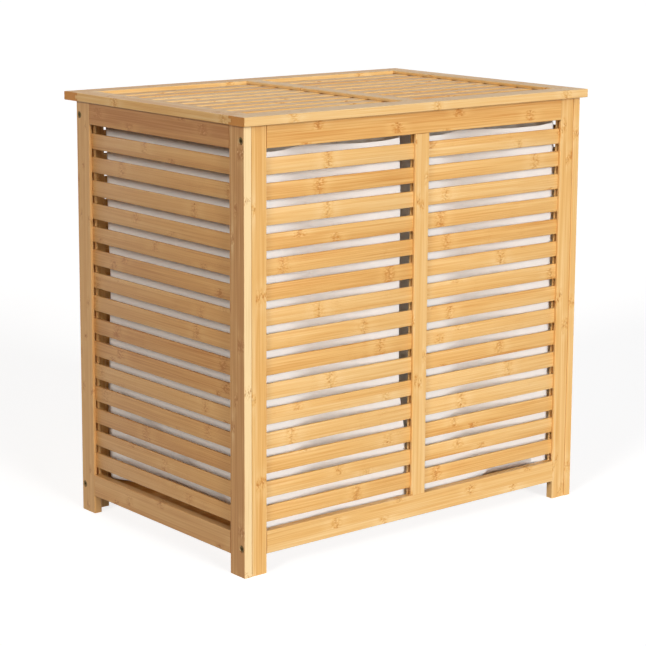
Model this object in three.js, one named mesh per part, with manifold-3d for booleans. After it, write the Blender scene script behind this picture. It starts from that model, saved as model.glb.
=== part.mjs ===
// A laundry hamper in bamboo: a frame-and-slat box for two cloth bags, with a hinged lid.
// Lengths are in millimetres. X runs to the right, Y to the back and Z up. The origin is on the
// floor, under the middle of the lid.

import * as THREE from "three";
import { mergeVertices } from "three/addons/utils/BufferGeometryUtils.js";
import Module from "manifold-3d";

// Overall sizes
const HEIGHT = 610;
const BODY_WIDTH = 610;
const BODY_DEPTH = 393;
const LID_SIDE_OVERHANG = 6;
const LID_FRONT_OVERHANG = 9;
const LID_BACK_OVERHANG = 22;
const LID_SEAT_GAP = 0.3;

// Boards
const BOARD = 12;
const RAIL_HEIGHT = 31;
const SIDE_STILE_WIDTH = 32;
const END_STILE_WIDTH = 25;
const CENTRE_STILE_WIDTH = 25;
const FOOT_HEIGHT = 26.5;
const PANEL_SETBACK = 1;
const LID_RAIL_WIDTH = 34;
const LID_SIDE_RAIL_WIDTH = 34;
const LID_CENTRE_RAIL_WIDTH = 26;
const EDGE_EASE = 0.8;

// Slats, and the joints that hold slats and rails
const SLAT_WIDTH = 22;
const SLAT_THICKNESS = 4;
const SLAT_GAP = 11.1;
const LID_SLAT_GAP = 12.4;
const GROOVE_DEPTH = 6;
const TONGUE_SHOULDER = 3;
const SPACER_WIDTH = 3;
const FIT = 0.2;

// Bottom panel
const PANEL_THICKNESS = 5;
const PANEL_TOP = 40;
const PANEL_GROOVE_DEPTH = 5;

// Hanging rods
const ROD_DIAMETER = 8;
const ROD_DROP = 10;
const ROD_SEAT = 3;

// Bags
const BAG_WALL = 1.6;
const BAG_GAP = 52;
const BAG_SIDE_CLEARANCE = 23;
const BAG_FLOOR_CLEARANCE = 4;
const BAG_PANEL_CLEARANCE = 4.5;
const BAG_HEM_DROP = 28;
const BAG_CORNER_RADIUS = 4;
const TUNNEL_THICKNESS = 1.2;
const TUNNEL_ROD_GAP = 0.3;
const TUNNEL_OVERLAP = 20;
const TUNNEL_LEAN_SHARE = 0.8;

// Bolts through the side frames
const BOLT_DROP = 19.5;
const BOLT_HEIGHT = 39;
const BOLT_HEAD_DIAMETER = 9.6;
const BOLT_HEAD_THICKNESS = 3;
const BOLT_HEAD_RECESS = 0.5;
const BOLT_HEAD_EDGE = 0.6;
const BOLT_SHANK_DIAMETER = 5;
const BOLT_TIP_WALL = 2.4;
const SOCKET_ACROSS = 4;
const SOCKET_DEPTH = 2;

// Hinges
const HINGE_INSET = 105;
const HINGE_LENGTH = 50;
const LEAF_WIDTH = 17;
const LEAF_THICKNESS = 1.5;
const KNUCKLE_DIAMETER = 5.8;
const KNUCKLE_GAP = 0.3;
const PIN_DIAMETER = 3;
const PIN_PLAY = 0.1;
const PIN_HEAD = 1;
const SCREW_HEAD_DIAMETER = 5.6;
const SCREW_SHANK_DIAMETER = 2.8;
const SCREW_LENGTH = 9;
const SCREW_SPACING = 32;
const SCREW_SET_SHARE = 0.62;

// Smoothness of round pieces
const ROUND_SIDES = 16;
const CORNER_STEPS = 4;
const HEX_SIDES = 6;
const WELD = 1e-4;

// Places that follow from the sizes above
const lidBottom = HEIGHT - BOARD;
const bodyTop = lidBottom - LID_SEAT_GAP;
const lidWidth = BODY_WIDTH + 2 * LID_SIDE_OVERHANG;
const lidDepth = BODY_DEPTH + LID_FRONT_OVERHANG + LID_BACK_OVERHANG;
const bodyFront = -lidDepth / 2 + LID_FRONT_OVERHANG;
const bodyBack = bodyFront + BODY_DEPTH;
const bodyMiddle = (bodyFront + bodyBack) / 2;
const sideInner = BODY_WIDTH / 2 - BOARD;
const frontInner = bodyFront + PANEL_SETBACK + BOARD;
const backInner = bodyBack - PANEL_SETBACK - BOARD;
const panelWidth = 2 * (sideInner - FIT);
const railTop = bodyTop - RAIL_HEIGHT;
const bottomRailTop = FOOT_HEIGHT + RAIL_HEIGHT;
const grooveWidth = SLAT_THICKNESS + 2 * FIT;
const tongueLength = GROOVE_DEPTH - FIT;
const rodHeight = bodyTop - ROD_DROP;
const rodHoleRadius = ROD_DIAMETER / 2 + FIT;
const tunnelBore = ROD_DIAMETER / 2 + TUNNEL_ROD_GAP;
const tunnelRadius = tunnelBore + TUNNEL_THICKNESS;
const tunnelLean = tunnelRadius * TUNNEL_LEAN_SHARE;
const bagInner = BAG_GAP / 2;
const bagOuter = sideInner - BAG_SIDE_CLEARANCE;
const innerRodX = bagInner - tunnelLean;
const outerRodX = bagOuter + tunnelLean;
const boltRadius = BOLT_SHANK_DIAMETER / 2;
const boltHoleRadius = boltRadius + FIT;
const boltInset = PANEL_SETBACK + BOARD / 2;
const boltHeights = [BOLT_HEIGHT, lidBottom - BOLT_DROP];
const boltTip = BOARD + END_STILE_WIDTH - GROOVE_DEPTH - BOLT_TIP_WALL;
const knuckleRadius = KNUCKLE_DIAMETER / 2;
const leafBack = knuckleRadius + KNUCKLE_GAP;
const leafFront = leafBack - LEAF_THICKNESS;
const hingeDrop = leafBack + FIT;
const hingeY = bodyBack - PANEL_SETBACK + hingeDrop;
const hingeZ = lidBottom - hingeDrop;
const screwSet = LEAF_WIDTH * SCREW_SET_SHARE;
const cutOver = BOARD;

// Finishes, in the colours of the real ones
const bambooFrame = new THREE.MeshStandardMaterial({ color: 0xe6bf86, roughness: 0.55 });
const bambooSlat = new THREE.MeshStandardMaterial({ color: 0xecb874, roughness: 0.55 });
const plywood = new THREE.MeshStandardMaterial({ color: 0x8a6038, roughness: 0.75 });
const cloth = new THREE.MeshStandardMaterial({ color: 0xf1ece4, roughness: 0.95 });
const bronzedSteel = new THREE.MeshStandardMaterial({ color: 0x4a4432, roughness: 0.45, metalness: 0.9 });
const zincSteel = new THREE.MeshStandardMaterial({ color: 0xb4b6b8, roughness: 0.4, metalness: 0.9 });

const wasm = await Module();
wasm.setup();

// A closed three.js geometry as a solid that can be joined and cut.
function solidOf(geometry) {
  const bare = geometry.clone();
  bare.deleteAttribute("normal");
  bare.deleteAttribute("uv");
  const merged = mergeVertices(bare, WELD);
  const mesh = new wasm.Mesh({
    numProp: 3,
    vertProperties: new Float32Array(merged.attributes.position.array),
    triVerts: new Uint32Array(merged.index.array),
  });
  return new wasm.Manifold(mesh);
}

function geometryOf(solid) {
  const { vertProperties, triVerts } = solid.getMesh();
  const shared = new THREE.BufferGeometry();
  shared.setAttribute("position", new THREE.BufferAttribute(vertProperties, 3));
  shared.setIndex(new THREE.BufferAttribute(triVerts, 1));
  const flat = shared.toNonIndexed();
  flat.computeVertexNormals();
  return flat;
}

function join(solid, ...pieces) {
  return pieces.reduce((whole, piece) => whole.add(solidOf(piece)), solid);
}

function cut(solid, ...tools) {
  return tools.reduce((rest, tool) => rest.subtract(solidOf(tool)), solid);
}

// A named mesh from a geometry or a solid, at a place in its group.
function addMesh(group, name, shape, material, place = [0, 0, 0]) {
  const mesh = new THREE.Mesh(shape.isBufferGeometry ? shape : geometryOf(shape), material);
  mesh.name = name;
  mesh.position.set(...place);
  group.add(mesh);
  return mesh;
}

// A box between two places along each axis.
function block([x0, x1], [y0, y1], [z0, z1]) {
  const box = new THREE.BoxGeometry(x1 - x0, y1 - y0, z1 - z0);
  return box.translate((x0 + x1) / 2, (y0 + y1) / 2, (z0 + z1) / 2);
}

// A round bar along y, from one place to another.
function barAlongY(radius, y0, y1, sides = ROUND_SIDES) {
  const bar = new THREE.CylinderGeometry(radius, radius, y1 - y0, sides);
  return bar.translate(0, (y0 + y1) / 2, 0);
}

function barAlongX(radius, x0, x1, sides = ROUND_SIDES) {
  return barAlongY(radius, -x1, -x0, sides).rotateZ(Math.PI / 2);
}

// The section of a board with its four long edges eased.
function boardSection(width) {
  const x = width / 2;
  const y = BOARD / 2;
  const corners = [
    [-x + EDGE_EASE, -y],
    [x - EDGE_EASE, -y],
    [x, -y + EDGE_EASE],
    [x, y - EDGE_EASE],
    [x - EDGE_EASE, y],
    [-x + EDGE_EASE, y],
    [-x, y - EDGE_EASE],
    [-x, -y + EDGE_EASE],
  ];
  return new THREE.Shape(corners.map(([u, v]) => new THREE.Vector2(u, v)));
}

// A board that stands along z between two places, centred on x and y.
function standingBoard(width, z0, z1) {
  const board = new THREE.ExtrudeGeometry(boardSection(width), { depth: z1 - z0, bevelEnabled: false });
  return board.translate(0, 0, z0);
}

// A board that lies along x, centred on the origin, with its width along z.
function lyingBoard(width, length) {
  return standingBoard(width, -length / 2, length / 2).rotateY(Math.PI / 2);
}

// Grooves and tongues lie in the middle of a board's thickness.
const grooveSpan = [-grooveWidth / 2, grooveWidth / 2];
const tongueSpan = [-SLAT_THICKNESS / 2, SLAT_THICKNESS / 2];

function rectangle(PathType, x0, x1, y0, y1) {
  const path = new PathType();
  path.moveTo(x0, y0);
  path.lineTo(x1, y0);
  path.lineTo(x1, y1);
  path.lineTo(x0, y1);
  path.closePath();
  return path;
}

// Slats that run along x, one above the other along z. Thin spacers in the bottoms of the grooves
// tie their ends together.
function slatLadder(length, starts) {
  const half = length / 2;
  const outline = rectangle(THREE.Shape, -half, half, starts[0], starts.at(-1) + SLAT_WIDTH);
  for (let i = 1; i < starts.length; i++) {
    const inner = half - SPACER_WIDTH;
    outline.holes.push(rectangle(THREE.Path, -inner, inner, starts[i - 1] + SLAT_WIDTH, starts[i]));
  }
  const ladder = new THREE.ExtrudeGeometry(outline, { depth: SLAT_THICKNESS, bevelEnabled: false });
  return ladder.rotateX(Math.PI / 2).translate(0, SLAT_THICKNESS / 2, 0);
}

// Where slats start when they are stacked from below with a fixed gap.
function stackedStarts(from, to) {
  const pitch = SLAT_WIDTH + SLAT_GAP;
  const count = Math.max(1, Math.floor((to - from) / pitch));
  return Array.from({ length: count }, (_, i) => from + SLAT_GAP + i * pitch);
}

// Where slats start when they are spread evenly, with gaps close to the wanted one.
function spreadStarts(from, to, wantedGap) {
  const count = Math.max(1, Math.round((to - from - wantedGap) / (SLAT_WIDTH + wantedGap)));
  const gap = (to - from - count * SLAT_WIDTH) / (count + 1);
  return Array.from({ length: count }, (_, i) => from + gap + i * (SLAT_WIDTH + gap));
}

// A rail that lies between two stiles, with a tongue on each end.
function rail(length, cuts) {
  const reach = length / 2 + tongueLength;
  const tall = RAIL_HEIGHT / 2 - TONGUE_SHOULDER;
  const tongue = block([-reach, reach], tongueSpan, [-tall, tall]);
  return cut(join(solidOf(lyingBoard(RAIL_HEIGHT, length)), tongue), ...cuts);
}

// The groove for the bottom panel, in the inner face of a bottom rail.
function panelGroove(length) {
  const middle = FOOT_HEIGHT + RAIL_HEIGHT / 2;
  return block(
    [-length / 2, length / 2],
    [BOARD / 2 - PANEL_GROOVE_DEPTH, BOARD / 2 + cutOver],
    [PANEL_TOP - PANEL_THICKNESS - FIT - middle, PANEL_TOP + FIT - middle],
  );
}

// The groove in a stile's inner edge. It takes the tongues of both rails and the ends of the slats.
function stileGroove(width, side) {
  const deep = width / 2 - GROOVE_DEPTH;
  const span = side > 0 ? [deep, width] : [-width, -deep];
  return block(span, grooveSpan, [
    FOOT_HEIGHT + TONGUE_SHOULDER - FIT,
    bodyTop - TONGUE_SHOULDER + FIT,
  ]);
}

const slatStarts = stackedStarts(bottomRailTop, railTop);

// A side frame in its own frame: x across, -y the outer face, z up.
function sideFrame(name, frontSide) {
  const frame = new THREE.Group();
  const stileX = BODY_DEPTH / 2 - SIDE_STILE_WIDTH / 2;
  const railLength = BODY_DEPTH - 2 * SIDE_STILE_WIDTH - 2 * FIT;
  const boltFromMiddle = BODY_DEPTH / 2 - boltInset - stileX;
  for (const [end, side] of [["front", frontSide], ["back", -frontSide]]) {
    const headRadius = BOLT_HEAD_DIAMETER / 2 + FIT;
    const headBottom = -BOARD / 2 + BOLT_HEAD_RECESS + BOLT_HEAD_THICKNESS + FIT;
    const cuts = [stileGroove(SIDE_STILE_WIDTH, -side)];
    for (const z of boltHeights) {
      const x = side * boltFromMiddle;
      cuts.push(barAlongY(headRadius, -BOARD, headBottom).translate(x, 0, z));
      cuts.push(barAlongY(boltHoleRadius, -BOARD, BOARD).translate(x, 0, z));
    }
    const stile = cut(solidOf(standingBoard(SIDE_STILE_WIDTH, 0, bodyTop)), ...cuts);
    addMesh(frame, `${name}_${end}_stile`, stile, bambooFrame, [side * stileX, 0, 0]);
    for (const [level, z] of [["bottom", boltHeights[0]], ["top", boltHeights[1]]]) {
      const place = [side * (stileX + boltFromMiddle), 0, z];
      addMesh(frame, `${name}_${end}_${level}_bolt`, bolt(), bronzedSteel, place);
    }
  }
  const topRail = rail(railLength, []);
  const bottomRail = rail(railLength, [panelGroove(railLength)]);
  addMesh(frame, `${name}_top_rail`, topRail, bambooFrame, [0, 0, bodyTop - RAIL_HEIGHT / 2]);
  addMesh(frame, `${name}_bottom_rail`, bottomRail, bambooFrame, [0, 0, FOOT_HEIGHT + RAIL_HEIGHT / 2]);
  const slats = slatLadder(railLength + 2 * tongueLength, slatStarts);
  addMesh(frame, `${name}_slats`, slats, bambooSlat);
  return frame;
}

// A seat for the end of a hanging rod, in the inner face of a board.
function rodSeat(x, z) {
  return barAlongY(rodHoleRadius, BOARD / 2 - ROD_SEAT, BOARD).translate(x, 0, z);
}

// A front or back panel in its own frame: x across, -y the outer face, z up.
function longPanel(name, rightSide, topRailCuts) {
  const panel = new THREE.Group();
  const stileX = panelWidth / 2 - END_STILE_WIDTH / 2;
  const railLength = panelWidth - 2 * END_STILE_WIDTH - 2 * FIT;
  for (const [end, side] of [["right", rightSide], ["left", -rightSide]]) {
    const cuts = [
      stileGroove(END_STILE_WIDTH, -side),
      rodSeat(side * (outerRodX - stileX), rodHeight),
    ];
    for (const z of boltHeights) {
      const holeBottom = BODY_WIDTH / 2 - boltTip - FIT - stileX;
      const hole = barAlongX(boltHoleRadius, holeBottom, END_STILE_WIDTH);
      if (side < 0) hole.rotateY(Math.PI);
      cuts.push(hole.translate(0, 0, z));
    }
    const stile = cut(solidOf(standingBoard(END_STILE_WIDTH, 0, bodyTop)), ...cuts);
    addMesh(panel, `${name}_${end}_stile`, stile, bambooFrame, [side * stileX, 0, 0]);
  }

  // The centre stile stands between the rails, on a tongue in each.
  const core = CENTRE_STILE_WIDTH / 2 - GROOVE_DEPTH;
  const low = bottomRailTop + FIT;
  const high = railTop - FIT;
  const tongue = block([-core, core], tongueSpan, [low - tongueLength, high + tongueLength]);
  const grooves = [-1, 1].map((side) => stileGroove(CENTRE_STILE_WIDTH, side));
  const centre = cut(solidOf(standingBoard(CENTRE_STILE_WIDTH, low, high)), ...grooves);
  addMesh(panel, `${name}_centre_stile`, join(centre, tongue), bambooFrame);

  const mortiseX = [-core - FIT, core + FIT];
  const half = RAIL_HEIGHT / 2;
  const mortiseDown = block(mortiseX, grooveSpan, [-half - cutOver, -half + GROOVE_DEPTH]);
  const mortiseUp = block(mortiseX, grooveSpan, [half - GROOVE_DEPTH, half + cutOver]);
  const seats = [-1, 1].map((side) => rodSeat(side * innerRodX, rodHeight - bodyTop + half));
  const topRail = rail(railLength, [mortiseDown, ...seats, ...topRailCuts]);
  const bottomRail = rail(railLength, [mortiseUp, panelGroove(railLength)]);
  addMesh(panel, `${name}_top_rail`, topRail, bambooFrame, [0, 0, bodyTop - half]);
  addMesh(panel, `${name}_bottom_rail`, bottomRail, bambooFrame, [0, 0, FOOT_HEIGHT + half]);

  const bay = (railLength + 2 * FIT - CENTRE_STILE_WIDTH) / 2;
  const bayX = CENTRE_STILE_WIDTH / 2 + bay / 2;
  for (const [end, side] of [["right", rightSide], ["left", -rightSide]]) {
    const slats = slatLadder(bay - 2 * FIT + 2 * tongueLength, slatStarts);
    addMesh(panel, `${name}_${end}_slats`, slats, bambooSlat, [side * bayX, 0, 0]);
  }
  return panel;
}

// The bottom panel lies in the grooves of the four bottom rails and stays clear of the stiles.
function bottomPanel() {
  const level = [PANEL_TOP - PANEL_THICKNESS, PANEL_TOP];
  const groove = PANEL_GROOVE_DEPTH - FIT;
  const wide = sideInner + groove;
  const front = frontInner - groove;
  const back = backInner + groove;
  const betweenStilesX = sideInner - FIT - END_STILE_WIDTH - FIT;
  const middle = block([FIT - sideInner, sideInner - FIT], [frontInner + FIT, backInner - FIT], level);
  const intoSides = block(
    [-wide, wide],
    [bodyFront + SIDE_STILE_WIDTH + 2 * FIT, bodyBack - SIDE_STILE_WIDTH - 2 * FIT],
    level,
  );
  const intoPanels = block([-betweenStilesX, betweenStilesX], [front, back], level);
  return join(solidOf(middle), intoSides, intoPanels);
}

// A bolt along y, with its head at -y and a hexagon socket in the head.
function bolt() {
  const head = BOLT_HEAD_DIAMETER / 2;
  const top = BOLT_HEAD_RECESS;
  const under = top + BOLT_HEAD_THICKNESS;
  const profile = [
    [0, top],
    [head - BOLT_HEAD_EDGE, top],
    [head, top + BOLT_HEAD_EDGE],
    [head, under],
    [boltRadius, under],
    [boltRadius, boltTip - boltRadius],
    [0, boltTip],
  ];
  const socketRadius = SOCKET_ACROSS / Math.sqrt(3);
  const socket = barAlongY(socketRadius, -SOCKET_DEPTH, top + SOCKET_DEPTH, HEX_SIDES);
  return geometryOf(cut(solidOf(turned(profile)), socket)).translate(0, -BOARD / 2, 0);
}

// A cloth bag about its own middle. Above the hem its two sides go up to tunnels for the rods.
function bag(width, depth, height) {
  const half = depth / 2;
  const outer = roundedBlock(width, -half, half, BAG_CORNER_RADIUS, 0, height);
  const cavity = roundedBlock(
    width - 2 * BAG_WALL,
    BAG_WALL - half,
    half - BAG_WALL,
    BAG_CORNER_RADIUS - BAG_WALL,
    BAG_WALL,
    height + cutOver,
  );
  const rodZ = height + BAG_HEM_DROP;
  const reach = half - BAG_CORNER_RADIUS;
  const joins = [];
  const cuts = [];
  for (const side of [-1, 1]) {
    const wall = [side * (width / 2 - BAG_WALL), side * width / 2].sort((a, b) => a - b);
    const rodX = side * (width / 2 + tunnelLean);
    joins.push(block(wall, [-reach, reach], [height - TUNNEL_OVERLAP, rodZ]));
    joins.push(barAlongY(tunnelRadius, -reach, reach).translate(rodX, 0, rodZ));
    cuts.push(barAlongY(tunnelBore, -half, half).translate(rodX, 0, rodZ));
  }
  return cut(join(solidOf(outer), ...joins), cavity, ...cuts);
}

// An upright block with round corners.
function roundedBlock(width, y0, y1, radius, z0, z1) {
  const x = width / 2 - radius;
  const quarter = Math.PI / 2;
  const outline = new THREE.Shape();
  outline.absarc(x, y0 + radius, radius, -quarter, 0);
  outline.absarc(x, y1 - radius, radius, 0, quarter);
  outline.absarc(-x, y1 - radius, radius, quarter, 2 * quarter);
  outline.absarc(-x, y0 + radius, radius, 2 * quarter, 3 * quarter);
  outline.closePath();
  const options = { depth: z1 - z0, bevelEnabled: false, curveSegments: CORNER_STEPS };
  return new THREE.ExtrudeGeometry(outline, options).translate(0, 0, z0);
}

// The lid in its own frame: x across, z to the back, -y the upper face.
function lid() {
  const group = new THREE.Group();
  const railZ = lidDepth / 2 - LID_RAIL_WIDTH / 2;
  const inner = lidDepth / 2 - LID_RAIL_WIDTH;
  const half = lidWidth / 2;
  const edge = LID_RAIL_WIDTH / 2;
  const coreHalf = LID_CENTRE_RAIL_WIDTH / 2 - GROOVE_DEPTH;
  const sideInnerX = half - LID_SIDE_RAIL_WIDTH;
  for (const [end, side] of [["front", -1], ["back", 1]]) {
    const deep = edge - GROOVE_DEPTH;
    const span = side < 0 ? [deep, edge + cutOver] : [-edge - cutOver, -deep];
    const fromX = sideInnerX + GROOVE_DEPTH - FIT;
    const cuts = [
      block([-half - cutOver, -fromX], grooveSpan, span),
      block([fromX, half + cutOver], grooveSpan, span),
      block([-coreHalf - FIT, coreHalf + FIT], grooveSpan, span),
    ];
    if (side > 0) cuts.push(...lidScrewHoles(railZ));
    const board = cut(solidOf(lyingBoard(LID_RAIL_WIDTH, lidWidth)), ...cuts);
    addMesh(group, `lid_${end}_rail`, board, bambooFrame, [0, 0, side * railZ]);
  }

  // The rails between them have a tongue on each end and a groove for the slats.
  const reach = inner - FIT;
  const tongueZ = [-reach - tongueLength, reach + tongueLength];
  const slatGroove = (x0, x1) => block([x0, x1], grooveSpan, [-inner - cutOver, inner + cutOver]);
  const sideX = half - LID_SIDE_RAIL_WIDTH / 2;
  const sideHalf = LID_SIDE_RAIL_WIDTH / 2;
  for (const [end, side] of [["left", -1], ["right", 1]]) {
    const core = side < 0 ? [-sideHalf, sideHalf - GROOVE_DEPTH] : [GROOVE_DEPTH - sideHalf, sideHalf];
    const groove = side < 0
      ? slatGroove(sideHalf - GROOVE_DEPTH, sideHalf + cutOver)
      : slatGroove(-sideHalf - cutOver, GROOVE_DEPTH - sideHalf);
    const board = cut(solidOf(standingBoard(LID_SIDE_RAIL_WIDTH, -reach, reach)), groove);
    const tongued = join(board, block(core, tongueSpan, tongueZ));
    addMesh(group, `lid_${end}_rail`, tongued, bambooFrame, [side * sideX, 0, 0]);
  }
  const centreHalf = LID_CENTRE_RAIL_WIDTH / 2;
  const centre = cut(
    solidOf(standingBoard(LID_CENTRE_RAIL_WIDTH, -reach, reach)),
    slatGroove(-centreHalf - cutOver, -coreHalf),
    slatGroove(coreHalf, centreHalf + cutOver),
  );
  const centreTongued = join(centre, block([-coreHalf, coreHalf], tongueSpan, tongueZ));
  addMesh(group, "lid_centre_rail", centreTongued, bambooFrame);

  const bay = sideInnerX - centreHalf;
  const starts = spreadStarts(-inner, inner, LID_SLAT_GAP);
  for (const [end, side] of [["left", -1], ["right", 1]]) {
    const slats = slatLadder(bay - 2 * FIT + 2 * tongueLength, starts);
    addMesh(group, `lid_${end}_slats`, slats, bambooSlat, [side * (centreHalf + bay / 2), 0, 0]);
  }
  return group;
}

const hingeXs = [HINGE_INSET - BODY_WIDTH / 2, BODY_WIDTH / 2 - HINGE_INSET];
const screwXs = [-SCREW_SPACING / 2, SCREW_SPACING / 2];
const screwHoleRadius = SCREW_SHANK_DIAMETER / 2 + FIT;

// Holes for the lid leaf's screws, in the frame of the lid's back rail.
function lidScrewHoles(railZ) {
  const z = hingeY + screwSet - railZ;
  const depth = SCREW_LENGTH - LEAF_THICKNESS + FIT;
  return hingeXs.flatMap((hingeX) =>
    screwXs.map((screwX) =>
      barAlongY(screwHoleRadius, BOARD / 2 - depth, BOARD).translate(hingeX + screwX, 0, z),
    ),
  );
}

// Holes for the body leaf's screws, in the frame of the back panel's top rail, whose -y is outside.
function bodyScrewHoles() {
  const z = hingeZ - screwSet - (bodyTop - RAIL_HEIGHT / 2);
  const depth = SCREW_LENGTH - LEAF_THICKNESS + FIT;
  return hingeXs.flatMap((hingeX) =>
    screwXs.map((screwX) =>
      barAlongY(screwHoleRadius, -BOARD, depth - BOARD / 2).translate(-hingeX - screwX, 0, z),
    ),
  );
}

function turned(profile) {
  return new THREE.LatheGeometry(profile.map(([r, y]) => new THREE.Vector2(r, y)), ROUND_SIDES);
}

// A wood screw along y, with its flat head at +y.
function screw() {
  const shank = SCREW_SHANK_DIAMETER / 2;
  return turned([
    [0, -SCREW_LENGTH],
    [shank, shank - SCREW_LENGTH],
    [shank, -LEAF_THICKNESS],
    [SCREW_HEAD_DIAMETER / 2, 0],
    [0, 0],
  ]);
}

// The countersunk hole in a leaf for such a screw.
function screwSeat() {
  const head = SCREW_HEAD_DIAMETER / 2 + FIT;
  return turned([
    [0, -2 * LEAF_THICKNESS],
    [screwHoleRadius, -2 * LEAF_THICKNESS],
    [screwHoleRadius, -LEAF_THICKNESS],
    [head, 0],
    [head, LEAF_THICKNESS],
    [0, LEAF_THICKNESS],
  ]);
}

// A leaf hangs from the pin's axis along -z, with its back to -y. Its knuckles sit at the ends or in
// the middle of the pin.
function hingeLeaf(knucklesAtEnds) {
  const third = HINGE_LENGTH / 3;
  const half = HINGE_LENGTH / 2;
  const mid = third / 2;
  const apart = KNUCKLE_GAP / 2;
  const endSpans = [[-half, -mid - apart], [mid + apart, half]];
  const midSpans = [[-mid + apart, mid - apart]];
  const spans = knucklesAtEnds ? endSpans : midSpans;
  const plate = block([-half, half], [-leafBack, -leafFront], [-LEAF_WIDTH, -leafBack]);
  const necks = spans.map((span) => block(span, [-leafBack, -leafFront], [-leafBack - LEAF_THICKNESS, 0]));
  const knuckles = spans.map((span) => barAlongX(knuckleRadius, ...span));
  const bore = barAlongX(PIN_DIAMETER / 2 + PIN_PLAY, -HINGE_LENGTH, HINGE_LENGTH);
  const holes = screwXs.map((x) => screwSeat().translate(x, -leafFront, -screwSet));
  return geometryOf(cut(join(solidOf(plate), ...necks, ...knuckles), bore, ...holes));
}

function addHinge(group, name, x) {
  const hinge = new THREE.Group();
  hinge.position.set(x, hingeY, hingeZ);
  const upper = new THREE.Group();
  upper.rotation.x = Math.PI / 2;
  hinge.add(upper);
  addMesh(hinge, `${name}_body_leaf`, hingeLeaf(true), zincSteel);
  const pinHalf = HINGE_LENGTH / 2 + PIN_HEAD;
  addMesh(hinge, `${name}_pin`, barAlongX(PIN_DIAMETER / 2, -pinHalf, pinHalf), zincSteel);
  screwXs.forEach((screwX, i) => {
    const place = [screwX, -leafFront, -screwSet];
    addMesh(hinge, `${name}_body_screw_${i + 1}`, screw(), zincSteel, place);
  });
  addMesh(upper, `${name}_lid_leaf`, lidLeaf(), zincSteel);
  screwXs.forEach((screwX, i) => {
    const place = [screwX, leafFront, -screwSet];
    const piece = screw().rotateX(Math.PI);
    addMesh(upper, `${name}_lid_screw_${i + 1}`, piece, zincSteel, place);
  });
  group.add(hinge);
}

// The lid's leaf is a body leaf turned over, so that its back faces the lid.
function lidLeaf() {
  return hingeLeaf(false).rotateZ(Math.PI);
}

const hamper = new THREE.Group();

const leftFrame = sideFrame("left_side", 1);
leftFrame.rotation.z = -Math.PI / 2;
leftFrame.position.set(-(BODY_WIDTH - BOARD) / 2, bodyMiddle, 0);
const rightFrame = sideFrame("right_side", -1);
rightFrame.rotation.z = Math.PI / 2;
rightFrame.position.set((BODY_WIDTH - BOARD) / 2, bodyMiddle, 0);

const frontPanel = longPanel("front", 1, []);
frontPanel.position.y = frontInner - BOARD / 2;
const backPanel = longPanel("back", -1, bodyScrewHoles());
backPanel.rotation.z = Math.PI;
backPanel.position.y = backInner + BOARD / 2;

const lidGroup = lid();
lidGroup.rotation.x = -Math.PI / 2;
lidGroup.position.z = HEIGHT - BOARD / 2;

hamper.add(leftFrame, rightFrame, frontPanel, backPanel, lidGroup);
addMesh(hamper, "bottom_panel", bottomPanel(), plywood);

const rodSpan = [frontInner - ROD_SEAT + FIT, backInner + ROD_SEAT - FIT];
for (const [end, side] of [["left", -1], ["right", 1]]) {
  for (const [place, x] of [["outer", outerRodX], ["inner", innerRodX]]) {
    const rod = barAlongY(ROD_DIAMETER / 2, ...rodSpan);
    addMesh(hamper, `${end}_${place}_hanging_rod`, rod, zincSteel, [side * x, 0, rodHeight]);
  }
}

const bagDepth = backInner - frontInner - 2 * BAG_PANEL_CLEARANCE;
const bagFloor = PANEL_TOP + BAG_FLOOR_CLEARANCE;
const bagHeight = rodHeight - BAG_HEM_DROP - bagFloor;
for (const [end, side] of [["left", -1], ["right", 1]]) {
  const place = [side * (bagInner + bagOuter) / 2, (frontInner + backInner) / 2, bagFloor];
  addMesh(hamper, `${end}_bag`, bag(bagOuter - bagInner, bagDepth, bagHeight), cloth, place);
}

["left", "right"].forEach((end, i) => addHinge(hamper, `${end}_hinge`, hingeXs[i]));

export default hamper;
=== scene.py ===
# %% [markdown]
# # A bamboo laundry hamper with two bags
# The hamper is a box of bamboo boards and slats. Two cotton bags hang in it on steel rods, and a
# slatted lid turns on two hinges at the back. Every board already has its true size and place in
# the imported frame, so this lesson adds what the frame doesn't hold: finishes, single slats, folded
# cloth, metal fittings, light and a camera. The frame is loaded first.

# %% Load the frame
import math
import random
from dataclasses import dataclass

import bmesh
import bpy
from mathutils import Matrix, Vector, noise


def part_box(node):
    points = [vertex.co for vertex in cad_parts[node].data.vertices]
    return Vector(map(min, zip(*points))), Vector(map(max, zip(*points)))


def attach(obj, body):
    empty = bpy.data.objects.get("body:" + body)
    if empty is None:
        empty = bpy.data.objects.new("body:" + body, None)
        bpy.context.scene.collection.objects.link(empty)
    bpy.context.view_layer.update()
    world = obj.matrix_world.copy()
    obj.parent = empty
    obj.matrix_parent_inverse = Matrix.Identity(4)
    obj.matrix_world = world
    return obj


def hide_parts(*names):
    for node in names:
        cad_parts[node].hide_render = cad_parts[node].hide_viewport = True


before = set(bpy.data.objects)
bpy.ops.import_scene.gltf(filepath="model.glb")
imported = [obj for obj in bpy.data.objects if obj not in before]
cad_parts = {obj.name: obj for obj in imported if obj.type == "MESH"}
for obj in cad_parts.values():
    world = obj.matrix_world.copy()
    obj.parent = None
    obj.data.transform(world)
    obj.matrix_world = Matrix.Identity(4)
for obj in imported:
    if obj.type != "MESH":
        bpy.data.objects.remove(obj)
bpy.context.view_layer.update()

# %% [markdown]
# Blender counts in metres and a hamper is measured in millimetres, so one value turns the one into
# the other. Each new piece is made as a bmesh, a mesh that operators shape step by step, and then
# becomes an object. The object stays at the origin and the place is in the mesh, as in the frame.
# Faces that meet at a small angle are shaded as one smooth surface, and sharper edges stay crisp.

# %% Turn a bmesh into a piece of the hamper
MM = 0.001
SMOOTH_ANGLE = math.radians(35)


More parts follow.
